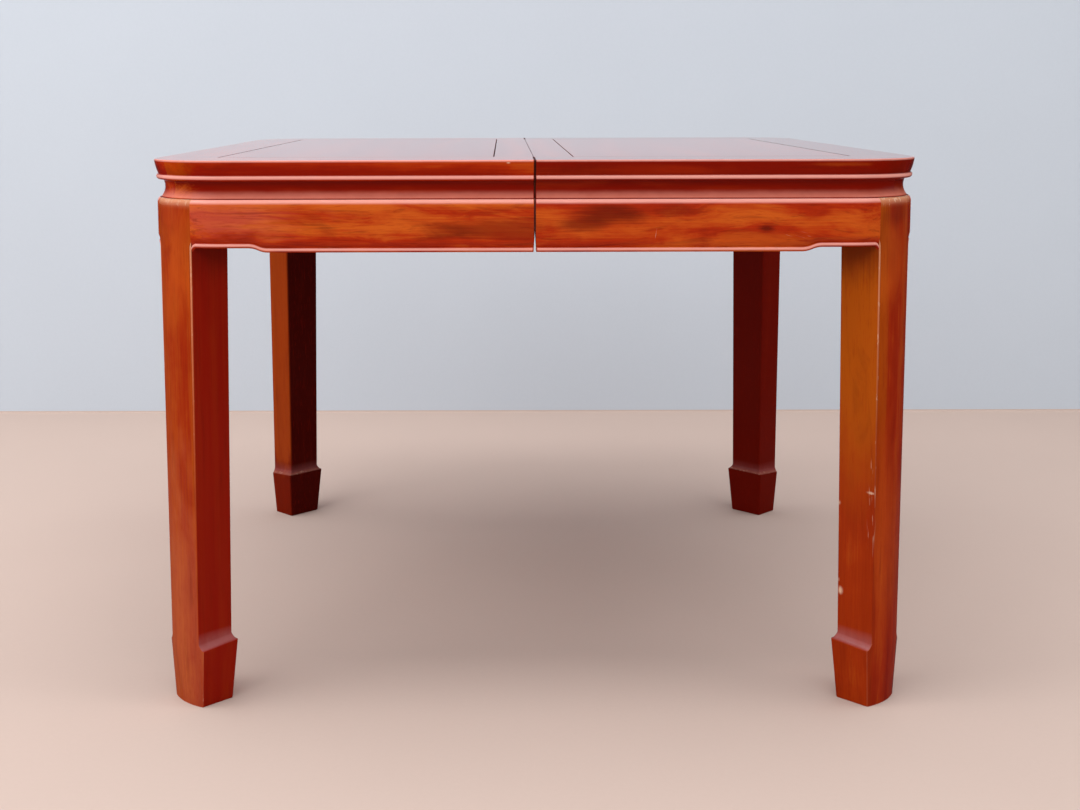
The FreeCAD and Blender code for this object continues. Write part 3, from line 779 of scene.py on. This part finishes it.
def apronSeam():  # the butt joint gapes towards its foot
    s = apronShape
    joint, dirt, clean = [], [], []
    for r, z, w in apronSection(0.0):
        y = -plan["corner"] - r
        gape = s["seamGape"] * max(0.0, (s["gapeTop"] - z) / (s["gapeTop"] - s["low"]))
        joint.append((-s["seam"] - gape, y, z, -1.0))
        dirt.append((-s["seam"] - gape - plan["dirt"], y, z, s["seamDirt"] if gape == 0.0 else 0.0))
        clean.append((-plan["clean"] - gape, y, z, w))
    return [joint, dirt, clean]


def buildAprons():
    s = apronShape
    c = plan["corner"]
    steps = [s["riseLength"] + s["ogee"] * i / s["ogeeSteps"] for i in range(s["ogeeSteps"] + 1)]
    plain, raised = apronSection(0.0), apronSection(s["rise"])
    longRings = apronSeam() + [frontRing(plain, -c / 2)]
    longRings += [frontRing(apronSection(apronLift(at)), at - c) for at in reversed(steps)]
    longRings += curled(cornerRings(raised, 0, 45, s["turnSteps"]))
    crossHalf = curled(cornerRings(raised, 45, 90, s["turnSteps"]))
    crossHalf += [endRing(apronSection(apronLift(at)), at - c) for at in steps]
    crossRings = crossHalf + [endRing(plain, 0.0)] + swapY(crossHalf)
    across = Vector((1.0, -1.0, 0.0)).normalized()
    frontFace = Vector((-c, -c, 0.0)) + across * s["legHalf"]
    endFace = Vector((-c, -c, 0.0)) - across * s["legHalf"]
    crossCuts = [(endFace, across), (mirroredY(endFace), mirroredY(across))]
    for half, flipX in halves.items():
        for end, flipY in ends.items():
            node = half + "_" + end + "_apron"
            finish = "apronLong" + half.title()
            buildPiece(node, finish, [longRings], (flipX, flipY), [(frontFace, -across)])
        buildPiece(half + "_end_apron", "apronCross", [crossRings], (flipX, 1), crossCuts)


buildAprons()
print("aprons built")


# diagonal legs: round outer face, beaded edges, hoof foot

legShape = {
    "radius": 99.5, "width": 77.0, "side": 60.0, "top": 717.0, "ease": 3.0, "soft": 0.3,
    # the shoulder's rub values give the leg top its wear and a painted highlight
    "shoulder": 4.5, "shoulderHeight": 8.5, "shoulderWearAndHighlight": (0.55, 0.08),
    "ankleWidth": 67.0, "ankleSide": 56.5, "ankleHeight": 9.0, "cove": 0.55, "coveUndercut": 0.4,
    # the cove's rub gives the back feet scuffs and the front feet a painted sheen
    "coveWearAndSheen": (0.6, 0.70, 0.70, 0.64, 0.54, 0.4, 0.2, 0.1, 0.0),
    "covePaintedSheen": (0.1, 0.85, 1.0, 1.0, 1.0, 0.95, 0.9, 0.8, 0.7),
    "hoofHeight": 83.0, "hoofWidth": 82.0, "hoofSide": 59.0, "hoofTilt": 4.0, "tiltStart": 0.2, "hoofWear": 0.5,
    "soleWidth": 68.0, "soleSide": 51.0, "soleEase": 1.2, "lean": 4.0, "scuff": 0.45, "scuffHeight": 2.0,
    # the bead's rub values along the shaft and at its turn paint its highlight, with some wear
    "bead": 2.2, "beadTop": 658.5, "beadTurn": 12.0, "beadGrowth": 1.4, "beadHighlight": 0.95, "shaftWearAndHighlight": (0.30, 0.6),
    "arris": 1.0, "quirk": 55.0, "plain": 12.0, "quirkStep": 0.35, "leastBead": 0.35,
    "blockWear": ((-26.0, 0.0), (-16.0, 0.25), (-10.0, 0.45)), "blockEdge": 0.3, "blockGap": 0.3,
    "neckOuter": 76.2, "neckDepth": 37.0, "neckHalf": 26.0, "neckTop": 742.0,
}
legSteps = {
    "ease": 4, "bead": 8, "face": 6, "neck": 8,
    "hoof": (0.0, 0.7, 2.0, 20.0, 45.0, 70.0), "hoofRim": (-1.2, -0.3),  # heights, and heights from the hoof's top
    "shaft": (0.03, 0.08, 0.25, 0.5, 0.75, 1.0), "beadTurn": (0.75, 0.5, 0.3, 0.16, 0.07, 0.02),
}
legWear = {  # rub and a painted sheen in the coves of the feet, and the joint that shows as a pale line
    "front": {"coveRubAndSheen": 0.5, "covePaintedSheen": 1.0}, "back": {"coveRubAndSheen": 0.72, "covePaintedSheen": 0.4},
    "openJoint": "right_front_leg", "openWear": 0.9, "jointWear": 0.3,
}


def legRing(z, size, edge, wear, face=None, tilt=0.0, haze=0.0):
    s = legShape
    width, side, radius = size
    bead, quirk = edge
    edgeWearAndHighlight, sideWear, faceWear = wear
    half = width / 2
    face = face or radius
    inner = sqrt(radius ** 2 - half ** 2) - side
    beadV = half - bead
    beadU = sqrt((face - bead) ** 2 - beadV ** 2)
    low = atan2(beadV, beadU) - radians(quirk)
    points = []
    for i in range(legSteps["ease"] + 1):  # eased inner edge
        t = i / legSteps["ease"]
        u = inner + s["ease"] * (1 - cos(t * pi / 2))
        v = half - s["ease"] * (1 - sin(t * pi / 2))
        points.append((u, v, sideWear, t, haze))
    for i in range(legSteps["bead"] + 1):  # bead, from the side to the outer face
        t = i / legSteps["bead"]
        turn = between(pi / 2, low, t)
        rub = sideWear if i < 2 else faceWear if t == 1 else max(edgeWearAndHighlight, sideWear)
        u, v = beadU + bead * cos(turn), beadV + bead * sin(turn)
        points.append((u, v, rub, 1 - 2 * t, haze * max(0.0, 1 - i / 3)))
    faceV = points[-1][1] - s["quirkStep"] * bead
    for i in range(legSteps["face"] + 1):  # outer face, to its middle
        v = faceV * (1 - i / legSteps["face"])
        points.append((sqrt(face ** 2 - v ** 2), v, faceWear, -1.0, 0.0))
    points += [(u, -v, w, k, h) for u, v, w, k, h in reversed(points[:-1])]
    return [(*fromDiagonal(u, v), z + tilt * (inner + side - u) / side, w, k, h) for u, v, w, k, h in points]


def hoofRings():
    s = legShape
    rings = []
    for z in legSteps["hoof"] + tuple(s["hoofHeight"] + rim for rim in legSteps["hoofRim"]):
        t = z / s["hoofHeight"]
        trim = max(0.0, 1.0 - z) * s["soleEase"]
        width = between(s["soleWidth"], s["hoofWidth"], t) - trim
        side = between(s["soleSide"], s["hoofSide"], t) - trim / 2
        size = (width, side, s["radius"] - s["lean"] * (1 - t))
        tilt = s["hoofTilt"] * max(0.0, t - s["tiltStart"]) / (1 - s["tiltStart"])
        scuff = s["scuff"] if z < s["scuffHeight"] else 0.0
        rings.append(legRing(z, size, (s["arris"], s["plain"]), (s["hoofWear"], scuff, scuff), tilt=tilt))
    return rings


def coveRings(coveRubAndSheen, covePaintedSheen):  # from the hoof up to the ankle
    s = legShape
    rings = []
    steps = len(s["coveWearAndSheen"]) - 1
    for i in range(steps + 1):
        t = i / steps
        wide = (1 - t) * (1 - s["cove"]) + s["cove"] * (1 - sqrt(1 - (1 - t) ** 2))
        width = between(s["ankleWidth"], s["hoofWidth"], wide) - (s["coveUndercut"] if i == 0 else 0.0)
        size = (width, between(s["ankleSide"], s["hoofSide"], wide), s["radius"])
        wear = (s["hoofWear"], s["coveWearAndSheen"][i] * coveRubAndSheen, 0.0)
        z = s["hoofHeight"] + s["ankleHeight"] * t
        haze = s["covePaintedSheen"][i] * covePaintedSheen
        rings.append(legRing(z, size, (s["arris"], s["plain"]), wear, tilt=s["hoofTilt"], haze=haze))
    return rings


def shaftRings():  # tapered, its bead growing upward and turning in under the apron
    s = legShape
    rings = []
    ankle, beadLow = s["hoofHeight"] + s["ankleHeight"], s["beadTop"] - s["beadTurn"]
    least, more = s["shaftWearAndHighlight"]
    for t in legSteps["shaft"]:
        grow = min(1.0, t * s["beadGrowth"])
        size = (between(s["ankleWidth"], s["width"], t), between(s["ankleSide"], s["side"], t), s["radius"])
        edge = (between(s["arris"], s["bead"], grow), between(s["plain"], s["quirk"], grow))
        rings.append(legRing(between(ankle, beadLow, t), size, edge, (least + more * t * t, 0.0, 0.0)))
    size = (s["width"], s["side"], s["radius"])
    for t in legSteps["beadTurn"]:
        bead = max(s["leastBead"], s["bead"] * sqrt(1 - (1 - t) ** 2))
        wear = (s["beadHighlight"], 0.0, 0.0)
        rings.append(legRing(s["beadTop"] - s["beadTurn"] * t, size, (bead, s["quirk"]), wear))
    return rings


def blockRings(jointWear):  # the leg's head between the aprons
    s = legShape
    size = (s["width"], s["side"], s["radius"])
    edge = (s["leastBead"], s["plain"])
    rings = [legRing(s["beadTop"] + s["blockGap"], size, edge, (jointWear, 0.0, 0.0))]
    for drop, wear in s["blockWear"]:
        rings.append(legRing(s["top"] + drop, size, edge, (jointWear, wear, wear)))
    least, more = s["shoulderWearAndHighlight"]
    for i, (face, z) in enumerate(easedShoulder(s["radius"], s)):
        rings.append(legRing(z, size, edge, (s["blockEdge"], 0.0, least + more * i), face))
    return rings


def neckRings():
    s = legShape
    outline = []
    for i in range(legSteps["neck"] + 1):
        v = s["neckHalf"] * (1 - 2 * i / legSteps["neck"])
        outline.append((sqrt(s["neckOuter"] ** 2 - v ** 2), v))
    inner = s["neckOuter"] - s["neckDepth"]
    outline += [(inner, -s["neckHalf"]), (inner, s["neckHalf"])]
    return [[(*fromDiagonal(u, v), z, 0.0) for u, v in outline] for z in (s["top"], s["neckTop"])]


def buildLegs():
    for half, flipX in halves.items():
        for end, flipY in ends.items():
            node = half + "_" + end + "_leg"
            jointWear = legWear["openWear"] if node == legWear["openJoint"] else legWear["jointWear"]
            rings = hoofRings() + coveRings(**legWear[end]) + shaftRings() + blockRings(jointWear)
            finish = "leg" + end.title() + half.title()
            buildPiece(node, finish, [rings, neckRings()], (flipX, flipY), soft=legShape["soft"])


buildLegs()
print("legs built")


# CAD nodes that stay get their finish

keptNodes = {
    "seam_rail": "frameCrossLeft", "tie_rail": "gearCross",
    "front_batten": "gearLong", "back_batten": "gearLong", "front_runner": "gearLong", "back_runner": "gearLong",
}


def setFinish(node, finish):
    slots = nodes[node].data.materials
    slots.clear()
    slots.append(finishes[finish])


for half in halves:
    for part, finish in keptNodes.items():
        setFinish(half + "_" + part, finish)
setFinish("seam_dowels", "gearLong")
setFinish("stop_pegs", "gearCross")
print("kept nodes dressed")


# floor, backdrop, light and camera

stageLook = {
    "floor": rgb(0.615, 0.475, 0.41), "wall": rgb(0.615, 0.67, 0.735), "wallPlace": 1.42, "wallTop": 4.5, "reach": 9.0,
    "bend": 0.006, "bendSteps": 8, "dull": 0.93, "grainScale": 140.0, "blotchScale": 3.0,
    "mirrorTone": rgb(0.03, 0.03, 0.035), "floorDim": 0.88, "wallDim": 0.0, "sides": (1.25, 1.55),
}
lightLook = {"sky": rgb(0.90, 0.95, 1.0), "skyLevel": 0.57, "skyMirrored": 0.10}
lamps = {
    "overhead": {"place": (-0.3, -0.9, 3.2), "aim": (-0.3, -0.9, 0.0), "size": (5.0, 0.9), "watts": 47.0},
    "frontLeft": {"place": (-2.7, -2.7, 3.3), "aim": (0.0, 0.0, 0.5), "size": (2.5, 2.5), "watts": 47.0},
    "front": {"place": (0.0, -3.4, 3.0), "aim": (0.0, 0.0, 0.5), "size": (4.0, 1.5), "watts": 28.0},
    "back": {"place": (0.0, 0.4, 3.4), "aim": (0.0, 0.4, 0.0), "size": (4.5, 1.6), "watts": 31.0},
    "left": {"place": (-3.4, 0.0, 2.1), "aim": (0.0, 0.0, 0.0), "size": (3.4, 3.4), "watts": 33.0},
    "right": {"place": (3.4, 0.0, 2.1), "aim": (0.0, 0.0, 0.0), "size": (3.4, 3.4), "watts": 13.0},
}


def stagePaint(name, colour, mirrorDim):
    s = stageLook
    p = Paint(name)
    place = p.place()
    fine, blotches = p.noise(place, s["grainScale"], 3.0, 0.6), p.noise(place, s["blotchScale"], 3.0, 0.5)
    dull = rgb(*(s["dull"] * c for c in colour[:3]))
    shade = p.mixed(fine * 0.5 + blotches * 0.5, dull, colour)
    across = p.band(p.maths("ABSOLUTE", p.along(place, "X")), *s["sides"])
    dim = p.glossyRay() * (across * (1.0 - mirrorDim) + mirrorDim)  # darker in the lacquer only
    shader = p.node("ShaderNodeBsdfDiffuse", {}, {"Color": p.mixed(dim, shade, s["mirrorTone"])})
    back = p.node("ShaderNodeNewGeometry", {}, {}, "Backfacing")  # seen from behind it is not there
    clear = p.node("ShaderNodeBsdfTransparent")
    return p.output(p.node("ShaderNodeMixShader", {}, {0: back, 1: shader, 2: clear}))


def stageMesh():
    s = stageLook
    bm = bmesh.new()
    far, floorEnd = s["reach"], s["wallPlace"] - s["bend"]
    line = [(-far, 0.0), (floorEnd, 0.0)]
    for i in range(1, s["bendSteps"] + 1):
        t = pi / 2 * i / s["bendSteps"]
        line.append((s["wallPlace"] - s["bend"] * (1 - sin(t)), s["bend"] * (1 - cos(t))))
    line.append((s["wallPlace"], s["wallTop"]))
    strips = [line, [(floorEnd, 0.0), (far, 0.0)]]  # the second is floor behind the wall
    for strip in strips:
        rows = [[bm.verts.new((x, y, z)) for x in (-far, far)] for y, z in strip]
        for a, b in zip(rows, rows[1:]):
            bm.faces.new((a[0], a[1], b[1], b[0]))
    bmesh.ops.recalc_face_normals(bm, faces=bm.faces)
    for face in bm.faces:
        if face.normal.z < -0.01 or face.normal.y > 0.01:
            face.normal_flip()
        face.smooth = True
        face.material_index = 1 if face.calc_center_median().z > s["bend"] else 0
    mesh = bpy.data.meshes.new("studioFloor")
    bm.to_mesh(mesh)
    bm.free()
    return mesh


def buildStage():
    mesh = stageMesh()
    mesh.materials.append(stagePaint("paleFloor", stageLook["floor"], stageLook["floorDim"]))
    mesh.materials.append(stagePaint("paleWall", stageLook["wall"], stageLook["wallDim"]))
    floor = bpy.data.objects.new("studioFloor", mesh)
    scene.collection.objects.link(floor)


def addLamp(name, look):
    data = bpy.data.lights.new(name, "AREA")
    data.shape = "RECTANGLE"
    data.size, data.size_y = look["size"]
    data.energy = look["watts"]
    lamp = bpy.data.objects.new(name, data)
    lamp.location = look["place"]
    aim = Vector(look["aim"]) - Vector(look["place"])
    lamp.rotation_euler = aim.to_track_quat("-Z", "Y").to_euler()
    scene.collection.objects.link(lamp)


def buildLight():
    s = lightLook
    scene.world = bpy.data.worlds.new("softSky")
    p = Paint("softSky", scene.world)
    seen = p.node("ShaderNodeBackground", {}, {"Color": s["sky"], "Strength": s["skyLevel"]})
    mirrored = p.node("ShaderNodeBackground", {}, {"Color": s["sky"], "Strength": s["skyMirrored"]})
    p.output(p.node("ShaderNodeMixShader", {}, {0: p.glossyRay(), 1: seen, 2: mirrored}), "ShaderNodeOutputWorld")
    for name, look in lamps.items():
        addLamp(name, look)


cameraLook = {
    "place": (-0.04139, -2.48443, 0.85332), "yaw": -0.00457, "pitch": 0.11387, "roll": 0.00296,
    "focal": 1458.86, "centre": (497.66, 264.06), "image": (1080, 810), "sensor": 36.0,
}


def buildCamera():
    s = cameraLook
    forward = Vector((sin(s["yaw"]) * cos(s["pitch"]), cos(s["yaw"]) * cos(s["pitch"]), -sin(s["pitch"])))
    level = Vector((cos(s["yaw"]), -sin(s["yaw"]), 0.0))
    down = forward.cross(level)
    right = level * cos(s["roll"]) + down * sin(s["roll"])
    down = down * cos(s["roll"]) - level * sin(s["roll"])
    data = bpy.data.cameras.new("photoView")
    data.sensor_fit = "HORIZONTAL"
    data.sensor_width = s["sensor"]
    width, height = s["image"]
    data.lens = s["focal"] / width * s["sensor"]
    data.shift_x = (width / 2 - s["centre"][0]) / width
    data.shift_y = (s["centre"][1] - height / 2) / width
    camera = bpy.data.objects.new("photoView", data)
    turn = Matrix((right, -down, -forward)).transposed().to_4x4()
    camera.matrix_world = Matrix.Translation(s["place"]) @ turn
    scene.collection.objects.link(camera)
    scene.camera = camera


buildStage()
buildLight()
buildCamera()
print("stage, light and camera set")
